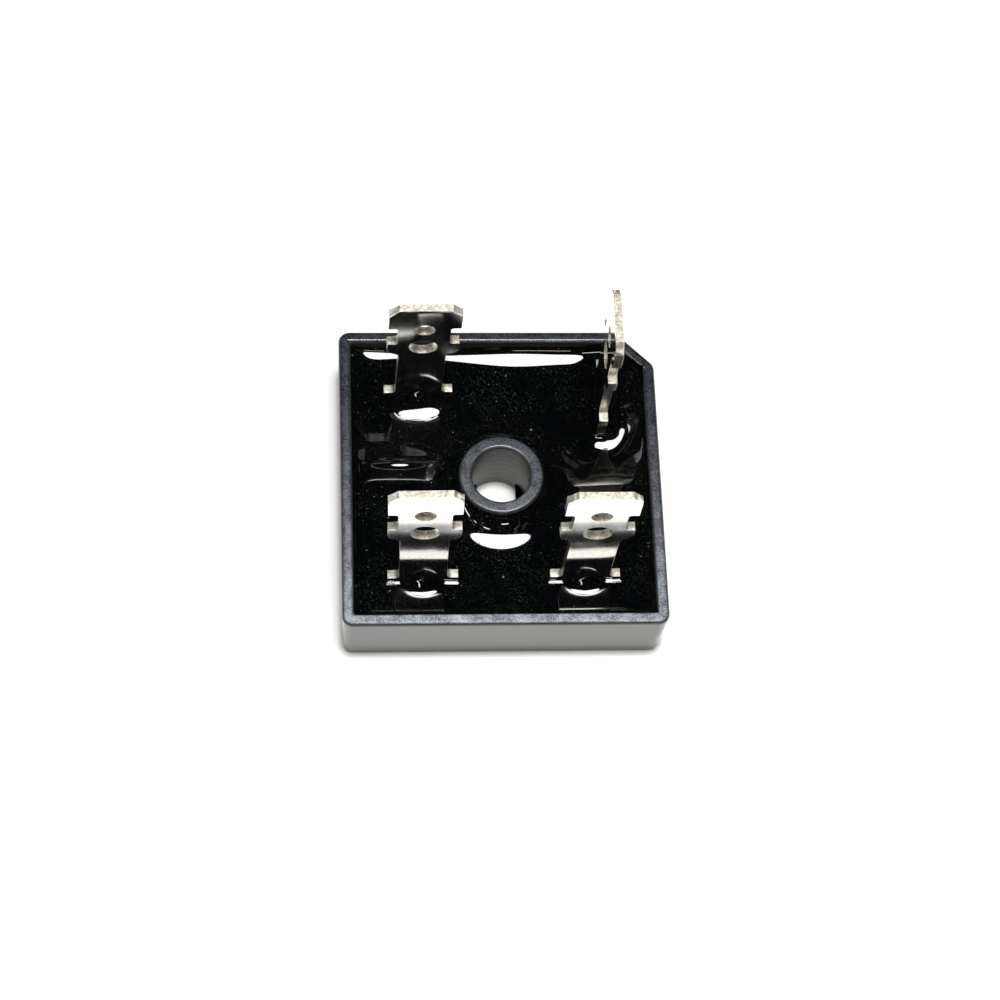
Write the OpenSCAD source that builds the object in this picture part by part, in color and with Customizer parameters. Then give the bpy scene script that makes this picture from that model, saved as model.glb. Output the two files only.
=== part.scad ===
// Square potted bridge rectifier with four quick-connect tabs.
// A moulded tray holds four diode dies between copper plates and straps, and a casting resin seals them in.
// Origin: centre of the screw hole on the base plane. +Z points out of the open side of the tray.
// The bevelled corner, at +X +Y, marks the plus tab.

/* [Case] */
// Width and depth of the case at its rim
case_w = 28.6; // [28:0.1:32]
// Height of the case from its base to its rim
case_h = 7.5; // [7.2:0.1:10]
// Thickness of the case wall at the rim
wall_t = 1.1; // [0.9:0.05:1.3]
// How much narrower each side is at the base than at the rim
draft_inset = 0.31; // [0.1:0.01:0.5]
// Radius of the upright corners at the rim
corner_r = 1; // [0.8:0.1:2]
// Radius of the rounded edge round the rim
rim_edge_r = 0.38; // [0.2:0.02:0.5]
// Length that the bevel cuts from each side at the plus corner
bevel_leg = 3.4; // [2.8:0.1:4.4]

/* [Screw boss] */
// Diameter of the screw hole
bore_d = 5.2; // [4.6:0.05:5.5]
// Thickness of the tube round the screw hole
boss_wall = 1.2; // [0.8:0.05:1.3]
// Width of the two runners that join the boss to the case wall
runner_w = 3; // [1.5:0.1:4]
// Height of the runners above the case floor
runner_h = 0.7; // [0.4:0.05:1]

/* [Heat spreader] */
// Width and depth of the face that shows in the base
spreader_w = 21.4; // [20:0.1:22]
// Thickness of the spreader, which is also that of the case floor
spreader_t = 1.2; // [1:0.1:1.6]
// How far the keyed upper half stands out past the lower half
key_w = 0.6; // [0.3:0.05:0.9]
// Gap round the boss that the case moulding fills
collar_gap = 0.75; // [0.5:0.05:1]

/* [Circuit] */
// Thickness of the ceramic tiles
tile_t = 0.3; // [0.2:0.05:0.5]
// How far a tile stands out round its copper plate
tile_margin = 0.4; // [0.2:0.05:0.5]
// Thickness of the copper plates
plate_t = 0.5; // [0.3:0.05:0.6]
// Gap between the copper plates and the case wall
plate_gap = 1.1; // [0.9:0.05:1.4]
// Width of the diode dies
die_w = 3; // [2:0.1:3.4]
// Thickness of the diode dies
die_t = 0.3; // [0.2:0.05:0.4]
// Thickness of each solder layer
solder_t = 0.1; // [0.05:0.01:0.15]
// Thickness of the copper straps
strap_t = 0.5; // [0.3:0.05:0.6]
// Width of the copper straps
strap_w = 3.2; // [3:0.1:3.6]

/* [Tabs] */
// Width of a tab
tab_w = 6.3; // [5.8:0.1:6.5]
// Thickness of a tab
tab_t = 0.8; // [0.5:0.05:1]
// Height of the tips of the tabs above the base
tab_top = 22.7; // [21:0.1:26]
// Distance between the left and right tabs
tab_pitch_x = 14.3; // [14:0.1:14.8]
// Distance between the front and rear tabs
tab_pitch_y = 18.1; // [17.6:0.1:18.6]
// Distance of the plus tab from the centre, to the right
plus_x = 9.25; // [9:0.05:10]
// Distance of the plus tab from the centre, to the rear
plus_y = 7.65; // [7.2:0.05:7.8]
// Width of the bevels at the tip of a tab
tip_bevel_w = 0.85; // [0.5:0.05:1.2]
// Height of the bevels at the tip of a tab
tip_bevel_h = 0.9; // [0.5:0.05:1.4]
// How deep the tip's edges are coined on each face
coin_depth = 0.08; // [0.04:0.01:0.15]
// Height of the coined edge
coin_h = 0.3; // [0.2:0.05:0.5]
// Distance from the tip to the top of the latch notches
notch_from_tip = 3.3; // [2.8:0.1:3.5]
// Height of the latch notches
notch_h = 2.95; // [2:0.05:3.2]
// Depth of the latch notches
notch_depth = 0.87; // [0.4:0.01:1]
// Height of the ears under the notches
ear_h = 1.95; // [1.6:0.05:2.4]
// Width of the neck, round which a wire can be wrapped
neck_w = 4.2; // [3.6:0.1:4.4]
// Width over the shoulders at the resin
shoulder_w = 6.2; // [5.6:0.1:6.4]
// Radius of the lower corners of the ears
ear_r = 0.9; // [0.3:0.05:0.95]
// Radius in the corners of the latch notches
notch_r = 0.3; // [0.1:0.05:0.5]
// Radius between the ears and the neck
neck_r = 0.5; // [0.2:0.05:0.7]
// Radius between the neck and the shoulders
shoulder_r = 0.45; // [0.2:0.05:0.6]
// Height of the top of the shoulders above the base
shoulder_top = 6.4; // [6.4:0.1:7]
// How much higher the shoulders of the plus tab stand
plus_shoulder_rise = 2.4; // [0:0.1:3]
// Diameter of the latch hole
latch_hole_d = 1.8; // [1.4:0.1:2]
// Distance from the tip to the latch hole
latch_hole_from_tip = 3.55; // [3.2:0.05:3.8]
// Diameter of the solder hole
solder_hole_d = 2.5; // [2:0.1:2.8]
// Distance from the tip to the solder hole
solder_hole_from_tip = 6.85; // [6.6:0.05:7.2]

/* [Resin] */
// Height of the flat resin surface above the base
resin_level = 5.5; // [5.2:0.05:5.5]
// How far the resin climbs the walls and the boss
climb_h = 1.1; // [0.8:0.05:1.4]
// How far from a wall the climbing resin reaches
climb_reach = 2.4; // [1.8:0.1:2.6]
// How far the resin climbs the tabs
tab_climb_h = 0.7; // [0.5:0.05:0.7]
// How far from a tab the climbing resin reaches
tab_climb_reach = 1.8; // [1.4:0.1:2]

/* [Hidden] */

// Cutters and buried ends run past the faces they meet by this much
past = 0.5;

rim_half = case_w / 2;
cavity_half = rim_half - wall_t;
boss_d = bore_d + 2 * boss_wall;

// Levels of the stack inside, from the floor up
floor_z = spreader_t;
plate_z = floor_z + tile_t;
die_solder_z = plate_z + plate_t;
die_z = die_solder_z + solder_t;
strap_solder_z = die_z + die_t;
strap_z = strap_solder_z + solder_t;
strap_top_z = strap_z + strap_t;

// Clear distances that the resin fills round the copper and the dies
boss_gap = 0.9;
die_gap = 0.7;

// How far copper runs on past the dies and the feet that sit on it
die_edge = 0.1;
plate_edge = 0.5;
strap_edge = 0.2;

// Each tab stands off its seat by a film of solder, in a ridge that is wider at its base
foot_film = 0.1;
foot_solder_h = 0.8;
foot_solder_base = 0.8;
foot_solder_top = 0.15;
foot_solder_end = 0.3;

// Each row of dies sits between the boss and the row of tabs
tab_x = tab_pitch_x / 2;
tab_y = tab_pitch_y / 2;
plate_inner_x = boss_d / 2 + boss_gap;
die_y = boss_d / 2 + die_gap + die_w / 2;
plate_end_y = die_y + die_w / 2 + plate_edge;
rear_plus_die_x = plate_inner_x + die_w / 2 + die_edge;
strap_end = die_w / 2 + strap_edge;
pad_w = neck_w + 2 * foot_solder_base;
pad_depth = tab_y + tab_t / 2 + foot_solder_base - die_y;

// How far the shoulders run down into the resin
shoulder_depth = 1.2;
shoulder_base_z = resin_level - shoulder_depth;

// Angle at which the climbing resin meets the flat resin
meeting_angle = 10;

// How far each tab is bent out of true: turned about its own axis, tipped to the right, tipped to the rear
PLUS_BEND_ANGLES = [0, 0, 0];
MINUS_BEND_ANGLES = [0, -1.3, 1.2];
AC_REAR_BEND_ANGLES = [1.1, 0.2, -1.6];
AC_FRONT_BEND_ANGLES = [0.4, 0.8, 0.5];

// ---- Case ----

// One corner of the case: a drafted post with a rounded top edge
module corner_post(at) {
    arc = [for (a = [0 : 15 : 90])
        [corner_r - rim_edge_r * (1 - cos(a)), case_h - rim_edge_r * (1 - sin(a))]];
    translate(at)
        rotate_extrude($fn = 32)
            polygon(concat([[0, 0], [corner_r - draft_inset, 0]], arc, [[0, case_h]]));
}

// The outside of the case, drawn over five corners
module case_outside() {
    c = rim_half - corner_r;
    bevel_end = rim_half - bevel_leg - (sqrt(2) - 1) * corner_r;
    hull()
        for (at = [[-c, -c], [c, -c], [-c, c], [c, bevel_end], [bevel_end, c]])
            corner_post(at);
}

// The bevel's length on a plan drawn in by inset all the way round, the bevel too
function inner_leg(inset) = bevel_leg - (2 - sqrt(2)) * inset;

// Plan of the case at its rim, drawn in by inset
module inner_plan(inset) {
    h = rim_half - inset;
    leg = inner_leg(inset);
    polygon([[-h, -h], [h, -h], [h, h - leg], [h - leg, h], [-h, h]]);
}

module case() {
    color("#2b3036") difference() {
        union() {
            difference() {
                case_outside();
                translate([0, 0, floor_z]) linear_extrude(case_h) inner_plan(wall_t);
                spreader_shape();
            }
            cylinder(d = boss_d, h = case_h, $fn = 96);
            for (side = [-1, 1])
                translate([-runner_w / 2, side > 0 ? boss_d / 2 - past : -cavity_half - wall_t / 2, floor_z])
                    cube([runner_w, cavity_half + wall_t / 2 - boss_d / 2 + past, runner_h]);
        }
        translate([0, 0, -past]) cylinder(d = bore_d, h = case_h + 2 * past, $fn = 96);
    }
}

// ---- Heat spreader ----

module square_plate(w, t, z) {
    translate([-w / 2, -w / 2, z]) cube([w, w, t]);
}

module spreader_shape() {
    difference() {
        union() {
            square_plate(spreader_w, spreader_t, 0);
            square_plate(spreader_w + 2 * key_w, spreader_t / 2, spreader_t / 2);
        }
        translate([0, 0, -past]) cylinder(d = boss_d + 2 * collar_gap, h = spreader_t + 2 * past, $fn = 96);
    }
}

module heat_spreader() {
    color("#b9bcc0") spreader_shape();
}

// ---- Tiles and copper plates ----

// A plate on one side of the boss, grown by grow all round. Its far sides follow the case wall.
// side is 1 for the plus plate, which runs to the rear, and -1 for the minus plate, which runs to the front
module side_plate(side, grow, t, z) {
    x = plate_inner_x - grow;
    y = plate_end_y + grow;
    translate([0, 0, z]) linear_extrude(t) intersection() {
        inner_plan(wall_t + plate_gap - grow);
        rotate([0, 0, side > 0 ? 0 : 180]) translate([x, -y]) square([rim_half, rim_half + y]);
    }
}

module insulator_minus() { color("#e9e6dc") side_plate(-1, tile_margin, tile_t, floor_z); }
module insulator_plus() { color("#e9e6dc") side_plate(1, tile_margin, tile_t, floor_z); }
module minus_bus() { color("#b87348") side_plate(-1, 0, plate_t, plate_z); }
module plus_bus() { color("#b87348") side_plate(1, 0, plate_t, plate_z); }

// ---- Dies and their solder ----

module on_die(x, y, t, z) {
    translate([x - die_w / 2, y - die_w / 2, z]) cube([die_w, die_w, t]);
}

module each_die() {
    for (at = [[rear_plus_die_x, die_y], [tab_x, -die_y], [-tab_x, die_y], [-tab_x, -die_y]])
        translate(at) children();
}

module die(x, y) { color("#5b5f66") on_die(x, y, die_t, die_z); }
module solder_under(x, y) { color("#a9a9a4") on_die(x, y, solder_t, die_solder_z); }
module solder_over(x, y) { color("#a9a9a4") on_die(x, y, solder_t, strap_solder_z); }

// ---- Straps ----

// A strap over two dies, with a pad under the tab; side is 1 at the rear and -1 at the front
module strap(side, left_x, right_x, pad_x) {
    y = side * die_y;
    pad_y = side > 0 ? y : y - pad_depth;
    color("#b87348") translate([0, 0, strap_z]) linear_extrude(strap_t) {
        translate([left_x - strap_end, y - strap_w / 2]) square([right_x - left_x + 2 * strap_end, strap_w]);
        translate([pad_x - pad_w / 2, pad_y]) square([pad_w, pad_depth]);
    }
}

module ac_strap_rear() { strap(1, -tab_x, rear_plus_die_x, -tab_x); }
module ac_strap_front() { strap(-1, -tab_x, tab_x, tab_x); }

// ---- Tabs ----

// A concave corner of radius r between two edges that meet at the origin, buried by a little at its back
module corner_fillet(r) {
    difference() {
        translate([-past / 2, -past / 2]) square(r + past / 2);
        translate([r, r]) circle(r = r, $fn = 48);
    }
}

// Right-hand half of the tab's outline, with its heights measured from the base of the case
module half_tab(shoulder_z, seat_z) {
    w = tab_w / 2;
    waist = w - notch_depth;
    head_z = tab_top - notch_from_tip;
    ear_z = head_z - notch_h;
    polygon([[0, head_z], [w, head_z], [w, tab_top - tip_bevel_h], [w - tip_bevel_w, tab_top], [0, tab_top]]);
    translate([0, seat_z]) square([neck_w / 2, head_z - seat_z]);
    translate([0, ear_z - past]) square([waist, notch_h + 2 * past]);
    difference() {
        translate([0, ear_z - ear_h]) square([w, ear_h]);
        translate([w - ear_r, ear_z - ear_h - ear_r]) difference() {
            square(2 * ear_r);
            translate([0, 2 * ear_r]) circle(r = ear_r, $fn = 48);
        }
    }
    translate([waist, ear_z]) corner_fillet(notch_r);
    translate([waist, head_z]) mirror([0, 1]) corner_fillet(notch_r);
    translate([neck_w / 2, ear_z - ear_h]) mirror([0, 1]) corner_fillet(neck_r);
    translate([neck_w / 2, shoulder_z]) corner_fillet(shoulder_r);
    translate([0, shoulder_base_z]) square([shoulder_w / 2, shoulder_z - shoulder_base_z]);
}

// A wedge that coins one face of the tab along an edge on the X axis, with the metal below it
module coining(length) {
    tilt = atan(coin_depth / coin_h);
    translate([0, -tab_t / 2 + coin_depth, 0])
        rotate([-tilt, 0, 0])
            translate([-length / 2, -2 * tab_t, -2 * coin_h]) cube([length, 2 * tab_t, 4 * coin_h]);
}

// A tab in its own true place: its blade is in the XZ plane, and it stands on seat_z
module straight_tab(shoulder_z, seat_z) {
    bevel_run = norm([tip_bevel_w, tip_bevel_h]);
    bevel_tilt = atan(tip_bevel_h / tip_bevel_w);
    difference() {
        rotate([90, 0, 0]) linear_extrude(tab_t, center = true) difference() {
            union() {
                half_tab(shoulder_z, seat_z);
                mirror([1, 0]) half_tab(shoulder_z, seat_z);
            }
            translate([0, tab_top - latch_hole_from_tip]) circle(d = latch_hole_d, $fn = 48);
            translate([0, tab_top - solder_hole_from_tip]) circle(d = solder_hole_d, $fn = 48);
        }
        for (face = [0, 1]) mirror([0, face, 0]) {
            translate([0, 0, tab_top]) coining(tab_w);
            for (hand = [0, 1]) mirror([hand, 0, 0])
                translate([(tab_w - tip_bevel_w) / 2, 0, tab_top - tip_bevel_h / 2])
                    rotate([0, bevel_tilt, 0]) coining(bevel_run);
        }
    }
}

// Puts a tab where it stands, bent out of true about the middle of its shoulders
module stand(x, y, turn, bent) {
    translate([x, y, shoulder_top])
        rotate([-bent[2], bent[1], turn + bent[0]])
            translate([0, 0, -shoulder_top]) children();
}

module minus_tab() {
    stand(-tab_x, -tab_y, 0, MINUS_BEND_ANGLES)
        straight_tab(shoulder_top, die_solder_z + foot_film);
}
module plus_tab() {
    stand(plus_x, plus_y, 90, PLUS_BEND_ANGLES)
        straight_tab(shoulder_top + plus_shoulder_rise, die_solder_z + foot_film);
}
module ac_rear_tab() {
    stand(-tab_x, tab_y, 0, AC_REAR_BEND_ANGLES)
        straight_tab(shoulder_top, strap_top_z + foot_film);
}
module ac_front_tab() {
    stand(tab_x, -tab_y, 0, AC_FRONT_BEND_ANGLES)
        straight_tab(shoulder_top, strap_top_z + foot_film);
}

module terminal_minus() { color("#c9c6bc") minus_tab(); }
module terminal_plus() { color("#c9c6bc") plus_tab(); }
module terminal_ac_rear() { color("#c9c6bc") ac_rear_tab(); }
module terminal_ac_front() { color("#c9c6bc") ac_front_tab(); }

// ---- Solder at the feet of the tabs ----

// A ridge of solder along the foot, wider at its base; the tab is cut out of it
module foot_solder(x, y, turn, z) {
    run = neck_w + 2 * foot_solder_end;
    low = tab_t / 2 + foot_solder_base;
    high = tab_t / 2 + foot_solder_top;
    color("#a9a9a4") difference() {
        translate([x, y, z]) rotate([90, 0, turn + 90]) linear_extrude(run, center = true)
            polygon([[-low, 0], [low, 0], [high, foot_solder_h], [-high, foot_solder_h]]);
        children();
    }
}

module solder_foot_minus() { foot_solder(-tab_x, -tab_y, 0, die_solder_z) minus_tab(); }
module solder_foot_plus() { foot_solder(plus_x, plus_y, 90, die_solder_z) plus_tab(); }
module solder_foot_ac_rear() { foot_solder(-tab_x, tab_y, 0, strap_top_z) ac_rear_tab(); }
module solder_foot_ac_front() { foot_solder(tab_x, -tab_y, 0, strap_top_z) ac_front_tab(); }

// ---- Resin ----

// Section of the resin that climbs a wall at x = 0: a concave arc that starts a little inside the wall,
// crosses the flat surface at a shallow angle and runs on to its lowest point just under that surface
module climb_section(climb, reach, buried) {
    r = (reach * reach + climb * climb) / (2 * (climb * cos(meeting_angle) - reach * sin(meeting_angle)));
    lowest_x = reach + r * sin(meeting_angle);
    difference() {
        translate([-buried, -past]) square([lowest_x + buried, past + climb + buried]);
        translate([lowest_x, r * cos(meeting_angle)]) circle(r = r, $fn = 96);
    }
}

// The climbing resin along one straight wall, which stands at the distance away from the origin
module wall_climb(away) {
    rotate([90, 0, 0]) linear_extrude(2 * case_w, center = true)
        translate([away, 0]) mirror([1, 0]) climb_section(climb_h, climb_reach, past);
}

// The climbing resin round a tab's shoulders: straight along both faces, and round each end
module tab_climb(x, y, turn) {
    half = (shoulder_w - tab_t) / 2;
    translate([x, y, resin_level]) rotate([0, 0, turn])
        for (side = [-1, 1]) {
            rotate([90, 0, side * 90]) linear_extrude(2 * half, center = true)
                translate([tab_t / 2, 0]) climb_section(tab_climb_h, tab_climb_reach, tab_t / 8);
            translate([side * half, 0, 0]) rotate_extrude($fn = 96)
                translate([tab_t / 2, 0]) climb_section(tab_climb_h, tab_climb_reach, tab_t / 8);
        }
}

module resin_shape() {
    intersection() {
        translate([0, 0, floor_z]) linear_extrude(case_h) inner_plan(wall_t);
        union() {
            linear_extrude(resin_level) square(2 * case_w, center = true);
            translate([0, 0, resin_level]) {
                for (turn = [0 : 90 : 270]) rotate([0, 0, turn]) wall_climb(cavity_half);
                rotate([0, 0, 45]) wall_climb(sqrt(2) * (cavity_half - inner_leg(wall_t) / 2));
                rotate_extrude($fn = 96) translate([boss_d / 2, 0]) climb_section(climb_h, climb_reach, past);
            }
            tab_climb(-tab_x, -tab_y, 0);
            tab_climb(-tab_x, tab_y, 0);
            tab_climb(tab_x, -tab_y, 0);
            tab_climb(plus_x, plus_y, 90);
        }
    }
}

module potting_compound() {
    color("#0b0c0e") difference() {
        resin_shape();
        translate([0, 0, -past]) cylinder(d = boss_d, h = case_h + 2 * past, $fn = 96);
        translate([-runner_w / 2, -case_w, floor_z]) cube([runner_w, 2 * case_w, runner_h]);
        insulator_minus();
        insulator_plus();
        minus_bus();
        plus_bus();
        ac_strap_rear();
        ac_strap_front();
        each_die() on_die(0, 0, die_t + 2 * solder_t, die_solder_z);
        minus_tab();
        plus_tab();
        ac_rear_tab();
        ac_front_tab();
        solder_foot_minus();
        solder_foot_plus();
        solder_foot_ac_rear();
        solder_foot_ac_front();
    }
}

case();
heat_spreader();
insulator_minus();
insulator_plus();
minus_bus();
plus_bus();
ac_strap_rear();
ac_strap_front();
die(rear_plus_die_x, die_y);  // die_rear_plus
die(tab_x, -die_y);  // die_front_plus
die(-tab_x, die_y);  // die_rear_minus
die(-tab_x, -die_y);  // die_front_minus
solder_under(rear_plus_die_x, die_y);  // solder_under_rear_plus
solder_under(tab_x, -die_y);  // solder_under_front_plus
solder_under(-tab_x, die_y);  // solder_under_rear_minus
solder_under(-tab_x, -die_y);  // solder_under_front_minus
solder_over(rear_plus_die_x, die_y);  // solder_over_rear_plus
solder_over(tab_x, -die_y);  // solder_over_front_plus
solder_over(-tab_x, die_y);  // solder_over_rear_minus
solder_over(-tab_x, -die_y);  // solder_over_front_minus
terminal_plus();
terminal_minus();
terminal_ac_rear();
terminal_ac_front();
solder_foot_plus();
solder_foot_minus();
solder_foot_ac_rear();
solder_foot_ac_front();
potting_compound();
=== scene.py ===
"""Looks of a square potted bridge rectifier with four quick-connect tabs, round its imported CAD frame."""

import math

import bmesh
import bpy
import numpy as np
from mathutils import Matrix, Vector


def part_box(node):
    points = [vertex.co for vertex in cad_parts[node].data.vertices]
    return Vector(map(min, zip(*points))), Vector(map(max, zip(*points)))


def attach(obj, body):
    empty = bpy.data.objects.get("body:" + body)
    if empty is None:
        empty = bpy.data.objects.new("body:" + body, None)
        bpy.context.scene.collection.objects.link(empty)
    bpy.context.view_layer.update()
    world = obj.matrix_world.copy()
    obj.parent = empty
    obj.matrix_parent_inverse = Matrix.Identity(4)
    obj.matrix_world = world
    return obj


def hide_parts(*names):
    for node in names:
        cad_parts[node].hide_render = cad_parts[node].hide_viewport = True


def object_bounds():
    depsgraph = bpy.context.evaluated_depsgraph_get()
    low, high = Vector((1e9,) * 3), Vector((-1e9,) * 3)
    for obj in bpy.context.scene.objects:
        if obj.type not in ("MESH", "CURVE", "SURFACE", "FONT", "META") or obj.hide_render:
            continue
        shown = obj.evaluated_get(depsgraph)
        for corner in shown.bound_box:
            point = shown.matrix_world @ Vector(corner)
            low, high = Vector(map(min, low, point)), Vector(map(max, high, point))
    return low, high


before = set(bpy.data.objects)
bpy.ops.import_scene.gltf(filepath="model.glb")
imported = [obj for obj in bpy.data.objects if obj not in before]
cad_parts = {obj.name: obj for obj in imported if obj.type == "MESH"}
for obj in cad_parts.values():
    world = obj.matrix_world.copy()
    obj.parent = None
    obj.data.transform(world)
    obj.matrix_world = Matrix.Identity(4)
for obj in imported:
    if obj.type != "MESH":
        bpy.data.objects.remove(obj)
cad_low, cad_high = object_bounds()
MM = 0.001


# ---- Camera ----
# A short telephoto stands over the front left of the part and looks steeply down at it,
# so that the open side of the tray shows whole and the front wall shows as a narrow strip.

VIEW_AZIMUTH, VIEW_ELEVATION, VIEW_ROLL = math.radians(-10.71), math.radians(65.59), math.radians(9.51)
VIEW_DISTANCE = 245 * MM
AIM = Vector((0, -1.41 * MM, 5.04 * MM))

camera = bpy.data.objects.new("camera", bpy.data.cameras.new("camera"))
camera.data.sensor_width = 36
camera.data.lens = 98.68
camera.data.clip_start, camera.data.clip_end = 0.01, 5


def direction(azimuth, from_vertical):
    """Unit vector at the angle from_vertical to +Z, turned by azimuth from the front (-Y) to the right:
    (sin a * sin t, -cos a * sin t, cos t)."""
    a, t = math.radians(azimuth), math.radians(from_vertical)
    return Vector((math.sin(a) * math.sin(t), -math.cos(a) * math.sin(t), math.cos(t)))


towards_camera = direction(math.degrees(VIEW_AZIMUTH), 90 - math.degrees(VIEW_ELEVATION))
level_right = Vector((math.cos(VIEW_AZIMUTH), math.sin(VIEW_AZIMUTH), 0))
level_up = towards_camera.cross(level_right)
right = level_right * math.cos(VIEW_ROLL) + level_up * math.sin(VIEW_ROLL)
up = towards_camera.cross(right)
axes = Matrix((right, up, towards_camera)).transposed().to_4x4()
camera.matrix_world = Matrix.Translation(AIM + towards_camera * VIEW_DISTANCE) @ axes
bpy.context.scene.collection.objects.link(camera)
bpy.context.scene.camera = camera
bpy.context.scene.view_settings.view_transform = "Standard"


# ---- Studio ----
# A white table under one round softbox, hung in a black ceiling between black curtains. The cloth keeps the
# resin black, and the softbox draws white crescents where the resin climbs. The curtains are there for
# reflections alone: the view and the soft fill pass through them.


def linear(hex_colour):
    """Linear RGBA of an sRGB hex colour: below 0.04045 it is c / 12.92, else ((c + 0.055) / 1.055) ^ 2.4."""
    c = np.array([int(hex_colour[i : i + 2], 16) for i in (1, 3, 5)]) / 255
    c = np.where(c <= 0.04045, c / 12.92, ((c + 0.055) / 1.055) ** 2.4)
    return (*c.tolist(), 1.0)


def node(tree, kind, links=(), values=(), **settings):
    """Adds a shader node, sets its properties, gives values to its sockets, and links its sockets."""
    made = tree.nodes.new("ShaderNode" + kind)
    for name, value in settings.items():
        setattr(made, name, value)
    for socket, value in dict(values).items():
        made.inputs[socket].default_value = value
    for socket, source in dict(links).items():
        tree.links.new(made.inputs[socket], source)
    return made


def new_material(name):
    """An empty node material, as (material, its tree, its output's surface socket)."""
    material = bpy.data.materials.new(name)
    material.use_nodes = True
    tree = material.node_tree
    tree.nodes.clear()
    return material, tree, node(tree, "OutputMaterial").inputs["Surface"]


def add_card(name, corners, material):
    """A flat card between four corners."""
    mesh = bpy.data.meshes.new(name)
    mesh.from_pydata(corners, [], [(0, 1, 2, 3)])
    mesh.materials.append(material)
    card = bpy.data.objects.new(name, mesh)
    bpy.context.scene.collection.objects.link(card)
    return card


def level_corners(half, z):
    """Corners of a square at height z that reaches half to each side."""
    return [(-half, -half, z), (half, -half, z), (half, half, z), (-half, half, z)]


def seen_or_mirrored(tree):
    """The light path node, and 1 for what the camera sees, straight or in a glossy face, else 0."""
    rays = node(tree, "LightPath")
    links = {0: rays.outputs["Is Camera Ray"], 1: rays.outputs["Is Glossy Ray"]}
    return rays, node(tree, "Math", links, operation="MAXIMUM").outputs[0]


TABLE_HALF = 0.6
CEILING_Z = 0.62
CLOTH_HALF = 0.75
TABLE_LIFT = 0.3
CONTACT = 0.7 * MM
LAMP_DISTANCE = 0.58

table_paper, tree, surface = new_material("white_table_paper")
# Within CONTACT of the part the soft light hardly reaches the table, so it darkens there.
openness = node(tree, "AmbientOcclusion", values={"Distance": CONTACT}, samples=6).outputs["AO"]
lit = node(tree, "MapRange", {"Value": openness}, {"From Min": 0.5, "To Min": 0.35}).outputs[0]
shade = node(tree, "VectorMath", {"Scale": lit}, {0: linear("#f2f1ee")[:3]}, operation="SCALE").outputs[0]
paper = node(tree, "BsdfDiffuse", {"Color": shade})
rays, seen = seen_or_mirrored(tree)
lift = node(tree, "Math", {0: seen}, {1: TABLE_LIFT}, operation="MULTIPLY")
glow = node(tree, "Emission", {"Strength": lift.outputs[0], "Color": shade})
both = node(tree, "AddShader", {0: paper.outputs[0], 1: glow.outputs[0]})
tree.links.new(surface, both.outputs[0])
add_card("table", level_corners(TABLE_HALF, cad_low.z), table_paper)

black_cloth, tree, surface = new_material("black_studio_cloth")
tree.links.new(surface, node(tree, "BsdfDiffuse", values={"Color": linear("#050505")}).outputs[0])
overhead = level_corners(CLOTH_HALF, CEILING_Z)
add_card("ceiling", overhead, black_cloth)
for side, (start, end) in enumerate(zip(overhead, overhead[1:] + overhead[:1])):
    hem = [(*end[:2], cad_low.z), (*start[:2], cad_low.z)]
    curtain = add_card(f"curtain_{side}", [start, end, *hem], black_cloth)
    curtain.visible_camera = curtain.visible_diffuse = False


def add_lamp(name, towards, across, width, height, radiance, shape):
    """A flat lamp that faces the part from the unit vector towards it, with its width along across.
    width and height are the angles that it fills. Its power is its radiance times pi times its area."""
    data = bpy.data.lights.new(name, "AREA")
    data.shape = shape
    data.size = 2 * LAMP_DISTANCE * math.tan(math.radians(width / 2))
    data.size_y = 2 * LAMP_DISTANCE * math.tan(math.radians(height / 2))
    share = math.pi / 4 if shape == "ELLIPSE" else 1
    data.energy = radiance * math.pi * data.size * data.size_y * share
    side = (across - towards * across.dot(towards)).normalized()
    lamp = bpy.data.objects.new(name, data)
    axes = Matrix((side, towards.cross(side), towards)).transposed().to_4x4()
    lamp.matrix_world = Matrix.Translation(towards * LAMP_DISTANCE) @ axes
    bpy.context.scene.collection.objects.link(lamp)


to_the_right = Vector((1, 0, 0))
add_lamp("softbox", direction(52, 4.5), to_the_right, 24, 24, 21, "ELLIPSE")
add_lamp("front_lamp", direction(11, 48), to_the_right, 9, 4, 18, "RECTANGLE")
strip_near, strip_far = direction(-16, 26), direction(-70, 59)
add_lamp("left_strip", (strip_near + strip_far).normalized(), strip_far - strip_near, 47, 3, 16, "RECTANGLE")

sky = bpy.data.worlds.new("white_surroundings")
sky.use_nodes = True
bpy.context.scene.world = sky
tree = sky.node_tree
tree.nodes.clear()
rays, seen = seen_or_mirrored(tree)
seen = node(tree, "Math", {0: seen, 1: rays.outputs["Is Transmission Ray"]}, operation="MAXIMUM")
strength = node(tree, "MapRange", {"Value": seen.outputs[0]}, {"To Min": 0.45, "To Max": 1.0})
light = node(tree, "Background", {"Strength": strength.outputs[0]})
node(tree, "OutputWorld", {"Surface": light.outputs[0]})


# ---- Case ----
# The tray is one moulding in black glass-filled thermoplastic: four drafted walls, a bevelled corner
# and a tube for the screw. Its top faces are matt and bloomed, with a painted sheen that lightens them
# towards the front, and its sides keep the mould's polish.

RING_PITCH = 1.0 * MM
BORE_LIMIT = 2.8 * MM


def object_point(tree):
    """Place on the piece, in metres."""
    return node(tree, "TexCoord").outputs["Object"]


def noise(tree, point, size_mm, detail=3.0, roughness=0.55):
    """Noise from 0 to 1 whose lumps are about size_mm wide."""
    values = {"Scale": 1 / (size_mm * MM), "Detail": detail, "Roughness": roughness}
    return node(tree, "TexNoise", {"Vector": point}, values).outputs["Fac"]


def ramp(tree, value, stops):
    """Colours at places from 0 to 1, blended between."""
    made = node(tree, "ValToRGB", {"Fac": value})
    band = made.color_ramp
    while len(band.elements) < len(stops):
        band.elements.new(0.5)
    for element, (place, colour) in zip(band.elements, stops):
        element.position = place
        element.color = linear(colour)
    return made.outputs["Color"]


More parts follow.
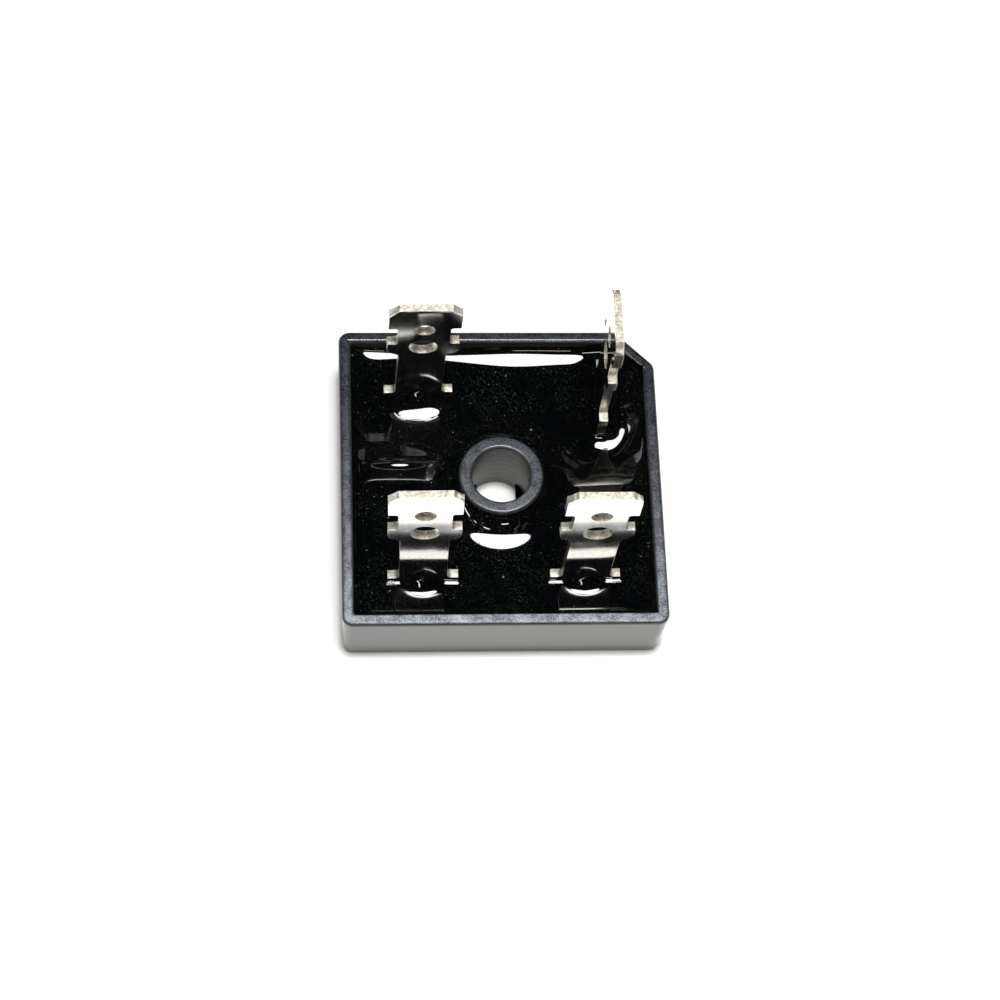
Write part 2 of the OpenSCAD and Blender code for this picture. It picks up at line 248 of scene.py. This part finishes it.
def moulded_plastic():
    """Glass-filled black thermoplastic. Faces that look up are matt and mottled where the glass lies near
    the surface, with a painted sheen that lightens them towards the front and a haze that makes them
    rougher there, and upright ones keep the mould's polish. The bore has faint dark rings, one per
    millimetre of height."""
    material, tree, surface = new_material("glass_filled_thermoplastic")
    point = object_point(tree)
    up = node(tree, "SeparateXYZ", {0: node(tree, "NewGeometry").outputs["Normal"]}).outputs["Z"]
    top = node(tree, "MapRange", {"Value": up}, {"From Min": 0.75, "From Max": 0.97}).outputs[0]
    place = node(tree, "SeparateXYZ", {0: point})
    grain = noise(tree, point, 0.12, 3, 0.75)
    patches = noise(tree, point, 1.2, 4, 0.6)
    both = node(tree, "Mix", {2: grain, 3: patches}, {"Factor": 0.35}).outputs[0]
    # Painted sheen: both colours of the top faces' mottle lighten towards the front, standing in for the
    # light that the rim catches there. The same value also makes those faces rougher.
    nearness = node(tree, "MapRange", {"Value": place.outputs["Y"]},
                    {"From Min": cad_high.y, "From Max": cad_low.y}).outputs[0]
    front_sheen_and_haze = node(tree, "Math", {0: nearness}, {1: 2.6}, operation="POWER").outputs[0]
    white = node(tree, "Mix", {"Factor": front_sheen_and_haze}, {6: linear("#3c444c"), 7: linear("#b4bcc6")},
                 data_type="RGBA").outputs[2]
    black = node(tree, "Mix", {"Factor": front_sheen_and_haze}, {6: linear("#08090b"), 7: linear("#23272d")},
                 data_type="RGBA").outputs[2]
    mottle = node(tree, "MapRange", {"Value": both}, {"From Min": 0.4, "From Max": 0.62}).outputs[0]
    mottle_and_sheen = node(tree, "Mix", {"Factor": mottle, 6: black, 7: white}, data_type="RGBA").outputs[2]
    streaks = node(tree, "Mapping", {"Vector": point}, {"Scale": (0.25, 0.25, 3)}).outputs[0]
    polish = ramp(tree, noise(tree, streaks, 0.4), [(0.3, "#2a2b2b"), (0.7, "#3b3c3b")])
    colour = node(tree, "Mix", {"Factor": top, 6: polish, 7: mottle_and_sheen}, data_type="RGBA").outputs[2]
    # Darker rings on the bore wall, one per RING_PITCH of height.
    turns = node(tree, "Math", {0: place.outputs["Z"]}, {1: 1 / RING_PITCH}, operation="MULTIPLY").outputs[0]
    saw = node(tree, "Math", {0: turns}, {1: 0.5}, operation="PINGPONG").outputs[0]
    flat_point = node(tree, "VectorMath", {0: point}, {1: (1, 1, 0)}, operation="MULTIPLY").outputs[0]
    from_axis = node(tree, "VectorMath", {0: flat_point}, operation="LENGTH").outputs["Value"]
    in_bore = node(tree, "Math", {0: from_axis}, {1: BORE_LIMIT}, operation="LESS_THAN").outputs[0]
    ring = node(tree, "MapRange", {"Value": saw},
                {"From Min": 0.0, "From Max": 0.2, "To Min": 1, "To Max": 0}).outputs[0]
    ring = node(tree, "Math", {0: ring, 1: in_bore}, operation="MULTIPLY").outputs[0]
    colour = node(tree, "Mix", {"Factor": ring, 6: colour}, {7: linear("#101210")},
                  data_type="RGBA").outputs[2]
    hazed = node(tree, "MapRange", {"Value": front_sheen_and_haze}, {"To Min": 0.22, "To Max": 0.46}).outputs[0]
    rough = node(tree, "Mix", {"Factor": top, 3: hazed}, {2: 0.16}).outputs[0]
    rough = node(tree, "Mix", {"Factor": in_bore, 2: rough}, {3: 0.45}).outputs[0]
    relief = node(tree, "Math", {0: grain, 1: top}, operation="MULTIPLY").outputs[0]
    bump = node(tree, "Bump", {"Height": relief}, {"Strength": 0.5, "Distance": 0.03 * MM}).outputs[0]
    shader = node(tree, "BsdfPrincipled", {"Base Color": colour, "Roughness": rough, "Normal": bump},
                  {"IOR": 1.65})
    tree.links.new(surface, shader.outputs[0])
    return material


def rounded_copy(name, cad_node, edge_mm, material):
    """A copy of a CAD node that stands for it, with its triangles merged and its edges rounded by edge_mm."""
    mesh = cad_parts[cad_node].data.copy()
    merged = bmesh.new()
    merged.from_mesh(mesh)
    bmesh.ops.remove_doubles(merged, verts=merged.verts, dist=1e-6)
    bmesh.ops.dissolve_limit(merged, angle_limit=math.radians(0.5), verts=merged.verts, edges=merged.edges)
    merged.to_mesh(mesh)
    merged.free()
    mesh.materials.clear()
    mesh.materials.append(material)
    mesh.shade_smooth()
    piece = bpy.data.objects.new(name, mesh)
    bpy.context.scene.collection.objects.link(piece)
    edges = piece.modifiers.new("rounded_edges", "BEVEL")
    edges.width = edge_mm * MM
    edges.segments = 3
    edges.limit_method = "ANGLE"
    edges.angle_limit = math.radians(40)
    edges.use_clamp_overlap = False
    flats = piece.modifiers.new("flat_faces", "WEIGHTED_NORMAL")
    flats.weight = 100
    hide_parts(cad_node)
    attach(piece, "root")
    return piece


rounded_copy("moulded_case", "case", 0.3, moulded_plastic())


# ---- Heat spreader ----
# An aluminium plate that lies flush in the base, with a keyed edge that the moulding grips. Its face is
# flat and brushed, to carry the heat to what the part is screwed to.


def milled_aluminium():
    """Mill-finish aluminium, brushed along one side by the belt that faced it."""
    material, tree, surface = new_material("mill_finish_aluminium")
    grain = node(tree, "Mapping", {"Vector": object_point(tree)}, {"Scale": (1, 24, 1)})
    lines = noise(tree, grain.outputs[0], 2.0, 5, 0.6)
    shader = node(tree, "BsdfPrincipled",
                  {"Base Color": ramp(tree, lines, [(0.3, "#a9acb0"), (0.7, "#d2d4d6")])},
                  {"Metallic": 1.0, "Roughness": 0.38})
    tree.links.new(surface, shader.outputs[0])
    return material


def dress(cad_node, material):
    """Gives a CAD node its material."""
    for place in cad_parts[cad_node].material_slots:
        place.material = material


dress("heat_spreader", milled_aluminium())


# ---- Circuit inside ----
# Ceramic tiles, copper plates and straps, four silicon dies and their solder, joined before the resin is
# poured. The resin hides them all, so their finishes are plain.


def plain(name, colour, metallic, roughness, size_mm, spread):
    """A finish with a slight mottle: its colour is lightened and darkened by spread over lumps of size_mm."""
    material, tree, surface = new_material(name)
    mottle = noise(tree, object_point(tree), size_mm)
    tone = node(tree, "MapRange", {"Value": mottle}, {"To Min": 1 - spread, "To Max": 1 + spread})
    tinted = node(tree, "VectorMath", {"Scale": tone.outputs[0]}, {0: linear(colour)[:3]}, operation="SCALE")
    shader = node(tree, "BsdfPrincipled", {"Base Color": tinted.outputs[0]},
                  {"Metallic": metallic, "Roughness": roughness})
    tree.links.new(surface, shader.outputs[0])
    return material


fired_alumina = plain("fired_alumina", "#e9e6dc", 0.0, 0.45, 0.4, 0.05)
rolled_copper = plain("rolled_copper", "#c47a50", 1.0, 0.3, 0.6, 0.12)
sawn_silicon = plain("sawn_silicon", "#5b5f66", 0.0, 0.2, 0.8, 0.06)
soft_solder = plain("soft_solder", "#a9a9a4", 1.0, 0.35, 0.3, 0.1)
INNER_FINISHES = {"insulator": fired_alumina, "minus_bus": rolled_copper, "plus_bus": rolled_copper,
                  "ac_strap": rolled_copper, "die": sawn_silicon, "solder": soft_solder}
for cad_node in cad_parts:
    for start, finish in INNER_FINISHES.items():
        if cad_node.startswith(start):
            dress(cad_node, finish)


# ---- Tabs ----
# Four quick-connect tabs, stamped from 0.8 mm brass strip, coined at the tip and tinned. Their rolled
# faces are near mirrors with a fine grain along the strip, and their sheared edges are rough and warm.


def tinned_brass(rolled_axis):
    """Tin over brass. rolled_axis is the axis that the rolled faces look along: 0 for X and 1 for Y."""
    material, tree, surface = new_material("tinned_brass_" + "xy"[rolled_axis])
    point = object_point(tree)
    normal = node(tree, "SeparateXYZ", {0: node(tree, "NewGeometry").outputs["Normal"]})
    facing = node(tree, "Math", {0: normal.outputs[rolled_axis]}, operation="ABSOLUTE").outputs[0]
    sheared = node(tree, "MapRange", {"Value": facing},
                   {"From Min": 0.85, "From Max": 0.6, "To Min": 0.0, "To Max": 1.0}).outputs[0]
    looks_up = node(tree, "MapRange", {"Value": normal.outputs["Z"]},
                    {"From Min": 0.3, "From Max": 0.8}).outputs[0]
    grain = node(tree, "Mapping", {"Vector": point}, {"Scale": (1, 1, 0.12)}).outputs[0]
    lines = noise(tree, grain, 0.12, 4, 0.6)
    blotches = noise(tree, point, 0.3, 4, 0.65)
    bright = ramp(tree, blotches, [(0.3, "#e6e0d2"), (0.5, "#f6f3ec"), (1.0, "#ffffff")])
    torn = node(tree, "Mix", {"Factor": looks_up, 2: lines, 3: blotches}).outputs[0]
    raw = ramp(tree, torn, [(0.3, "#a79c84"), (0.5, "#dcd6c6"), (0.7, "#ffffff")])
    colour = node(tree, "Mix", {"Factor": sheared, 6: bright, 7: raw}, data_type="RGBA").outputs[2]
    torn_rough = node(tree, "MapRange", {"Value": looks_up}, {"To Min": 0.28, "To Max": 0.6}).outputs[0]
    rough = node(tree, "Mix", {"Factor": sheared, 3: torn_rough}, {2: 0.1}).outputs[0]
    bump = node(tree, "Bump", {"Height": lines}, {"Strength": 0.12, "Distance": 0.01 * MM}).outputs[0]
    shader = node(tree, "BsdfPrincipled", {"Base Color": colour, "Roughness": rough, "Normal": bump},
                  {"Metallic": 1.0})
    tree.links.new(surface, shader.outputs[0])
    return material


tinned_y = tinned_brass(1)
rounded_copy("tab_minus", "terminal_minus", 0.03, tinned_y)
rounded_copy("tab_plus", "terminal_plus", 0.03, tinned_brass(0))
rounded_copy("tab_ac_rear", "terminal_ac_rear", 0.03, tinned_y)
rounded_copy("tab_ac_front", "terminal_ac_front", 0.03, tinned_y)


# ---- Resin ----
# Black epoxy poured into the tray and cured. It is flat in the middle, climbs the walls, the boss and
# the tabs where it wetted them, and has a wet gloss under fine dust.

RESIN_LEVEL = 5.5 * MM
SHOULDER_HALF, TAB_HALF_T = 3.1 * MM, 0.4 * MM
TAB_SLOPE = 0.47
CLIMB_SLOPE = 0.364
FILM_FADE = 0.08
SHOULDER_FILM, SHOULDER_FADE = 0.09, 0.13
AROUND, OUTWARDS = 600, 120
CROWDING = 0.4

resin_low, resin_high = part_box("potting_compound")
cad_points = np.array([v.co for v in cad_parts["potting_compound"].data.vertices])
tray_half = resin_high.x
tray_diagonal = (cad_points[:, 0] + cad_points[:, 1]).max()
boss_radius = np.hypot(cad_points[:, 0], cad_points[:, 1]).min()


def swell(x, y, at_x, at_y, wide, deep):
    """A round hump of height 1: exp(-((x - at_x) / wide)^2 - ((y - at_y) / deep)^2), all in mm."""
    return np.exp(-(((x / MM - at_x) / wide) ** 2) - ((y / MM - at_y) / deep) ** 2)


def climb(d, at, slope, fade, film):
    """Climb against a wall at distance d: slope * fade * exp((at - d) / fade), which has that slope at the
    distance at, and against the wall itself a thin film that rises by film. Lengths are in mm."""
    d = np.maximum(d, 0) / MM
    return (slope * fade * np.exp((at - d) / fade) + film * np.exp(-d / FILM_FADE)) * MM


def heap(x, y, tab, reach, end, wide, straight=0.0):
    """Resin heaped up against a tab, at u along the tab and v out from its faces, all in mm. It is a mound
    with q = hypot(max(|u| - straight, 0) / wide, v): TAB_SLOPE * end * ln(1 + exp((reach - q) / end)) is a
    straight slope that dies out at the reach. A thin film rings the shoulders."""
    low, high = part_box("solder_foot_" + tab)
    along, across = x / MM - (low.x + high.x) / 2 / MM, y / MM - (low.y + high.y) / 2 / MM
    u, v = (along, across) if high.x - low.x > high.y - low.y else (across, along)
    v = np.maximum(np.abs(v) - TAB_HALF_T / MM, 0)
    q = np.hypot(np.maximum(np.abs(u) - straight, 0) / wide, v)
    d = np.hypot(np.maximum(np.abs(u) - SHOULDER_HALF / MM, 0), v)
    mound = TAB_SLOPE * end * np.log1p(np.exp((reach - q) / end))
    return (mound + SHOULDER_FILM * np.exp(-d / SHOULDER_FADE)) * MM


def slow_step(d, wide):
    """A step from 0 to 1 about d = 0: 1 / (1 + exp(-d / wide))."""
    return 1 / (1 + np.exp(-d / wide))


def resin_height(x, y):
    """Height of the cured surface: its flat level, with climbs against the walls and the boss, a heap
    against each tab, a low swell, and a fuller place between the plus tab and the wall beside it."""
    rear_fade = 0.1 + 1.23 * swell(x, 0, 2.3, 0, 7.3, 1) + 1.46 * swell(x, 0, -12, 0, 4, 1)
    rear_at = 0.54 - 0.71 * swell(x, 0, -13.2, 0, 5, 1)
    z = RESIN_LEVEL + climb(tray_half - y, rear_at, CLIMB_SLOPE, rear_fade, 0.3)
    z += climb(tray_half + y, 0.75, CLIMB_SLOPE, 0.6, 0.2)
    z += climb(tray_half - x, 0.3, CLIMB_SLOPE, 2.2, 0.3)
    for d in (tray_half + x, (tray_diagonal - x - y) / math.sqrt(2)):
        z += climb(d, 0.3, CLIMB_SLOPE, 1.1, 0.5)
    z += climb(np.hypot(x, y) - boss_radius, 1.3, 0.36, 1.15, 0.3)
    z += heap(x, y, "ac_rear", 2.05, 0.43, 1.57)
    z += heap(x, y, "minus", 1.22, 0.19, 1.46)
    z += heap(x, y, "ac_front", 1.2, 0.19, 1.5)
    z += heap(x, y, "plus", 0.73, 0.37, 1, SHOULDER_HALF / MM)
    z += 0.075 * MM * swell(x, y, -8.9, 2.1, 2.2, 0.38)
    behind = (y / MM - 3.4) * 0.872 - (x / MM - 9.72) * 0.489 - 0.49
    return z + 0.52 * MM * slow_step(behind, 0.71) * slow_step(x / MM - 9.2, 0.71)


def resin_mesh():
    """A closed block. Its top is a grid of rays from the boss to the walls, at the height resin_height gives,
    and its two rims are carried down to the floor of the tray. Points lie at share - CROWDING *
    sin(2 pi share) / (2 pi) of the way out, which crowds them at both ends, where the resin climbs."""
    angle = np.linspace(0, 2 * math.pi, AROUND, endpoint=False)
    c, s = np.cos(angle), np.sin(angle)
    to_sides = tray_half / np.maximum(np.abs(c), np.abs(s))
    to_bevel = np.where(c + s > 0.1, tray_diagonal / np.maximum(c + s, 0.1), np.inf)
    far = np.minimum(to_sides, to_bevel)
    share = np.linspace(0, 1, OUTWARDS)
    share = share - CROWDING * np.sin(2 * math.pi * share) / (2 * math.pi)
    r = boss_radius + (far - boss_radius)[:, None] * share[None, :]
    x, y = r * c[:, None], r * s[:, None]
    top = np.stack([x, y, resin_height(x, y)], axis=-1)
    floor = top[:, [-1, 0]]
    floor[:, :, 2] = resin_low.z
    rings = np.concatenate([top, floor], axis=1)
    rows, columns = rings.shape[:2]
    number = np.arange(rows * columns).reshape(rows, columns)
    beside = np.roll(number, -1, axis=0)
    after, after_beside = np.roll(number, -1, axis=1), np.roll(beside, -1, axis=1)
    quads = np.stack([number, after, after_beside, beside], axis=-1).reshape(-1, 4)
    mesh = bpy.data.meshes.new("cast_resin")
    mesh.from_pydata(rings.reshape(-1, 3).tolist(), [], quads.tolist())
    mesh.shade_smooth()
    mesh.set_sharp_from_angle(angle=math.radians(75))
    return mesh


def specks(tree, point, cell_mm, share, radius, turn=0.0, stretch=1.0):
    """Soft specks: in a share of the cells of a Voronoi pattern, a dot that fades out at radius cells.
    Stretched along a line that is turned by turn degrees, they are short scratches."""
    values = {"Rotation": (0, 0, math.radians(turn)), "Scale": (1, stretch, 1)}
    laid = node(tree, "Mapping", {"Vector": point}, values, vector_type="TEXTURE").outputs[0]
    cells = node(tree, "TexVoronoi", {"Vector": laid}, {"Scale": 1 / (cell_mm * MM)})
    pick = node(tree, "SeparateColor", {0: cells.outputs["Color"]})
    size = node(tree, "MapRange", {"Value": pick.outputs[0]},
                {"From Min": 1 - share, "From Max": 1.0, "To Min": 0.0, "To Max": radius}).outputs[0]
    near = node(tree, "Math", {0: size, 1: cells.outputs["Distance"]}, operation="SUBTRACT").outputs[0]
    return node(tree, "MapRange", {"Value": near}, {"From Min": 0.0, "From Max": 0.6 * radius}).outputs[0]


def cast_epoxy():
    """Black casting epoxy with a wet gloss, under fine dust, a few larger specks and short scratches. Real
    dust is finer: it is drawn 0.1 mm and coarser so that it shows."""
    material, tree, surface = new_material("cast_black_epoxy")
    point = object_point(tree)
    patches = noise(tree, point, 3.5, 3)
    amount = node(tree, "MapRange", {"Value": patches},
                  {"From Min": 0.35, "From Max": 0.62, "To Min": 0.1}).outputs[0]
    film = node(tree, "MapRange", {"Value": noise(tree, point, 0.1, 2, 0.7)},
                {"From Min": 0.6, "From Max": 0.85, "To Max": 0.5}).outputs[0]
    layers = [film, specks(tree, point, 0.34, 0.45, 0.2), specks(tree, point, 1.0, 0.3, 0.12),
              specks(tree, point, 1.1, 0.12, 0.04, 35, 9), specks(tree, point, 1.3, 0.12, 0.04, -50, 8)]
    dust = layers[0]
    for layer in layers[1:]:
        dust = node(tree, "Math", {0: dust, 1: layer}, operation="MAXIMUM").outputs[0]
    dust = node(tree, "Math", {0: dust, 1: amount}, operation="MULTIPLY").outputs[0]
    resin = node(tree, "BsdfPrincipled",
                 values={"Base Color": linear("#040506"), "Roughness": 0.03, "IOR": 1.58})
    lint = node(tree, "BsdfDiffuse", values={"Color": linear("#8d938e")})
    mixed = node(tree, "MixShader", {0: dust, 1: resin.outputs[0], 2: lint.outputs[0]})
    tree.links.new(surface, mixed.outputs[0])
    return material


cast_resin = bpy.data.objects.new("cast_resin", resin_mesh())
bpy.context.scene.collection.objects.link(cast_resin)
cast_resin.data.materials.append(cast_epoxy())
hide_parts("potting_compound")
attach(cast_resin, "root")
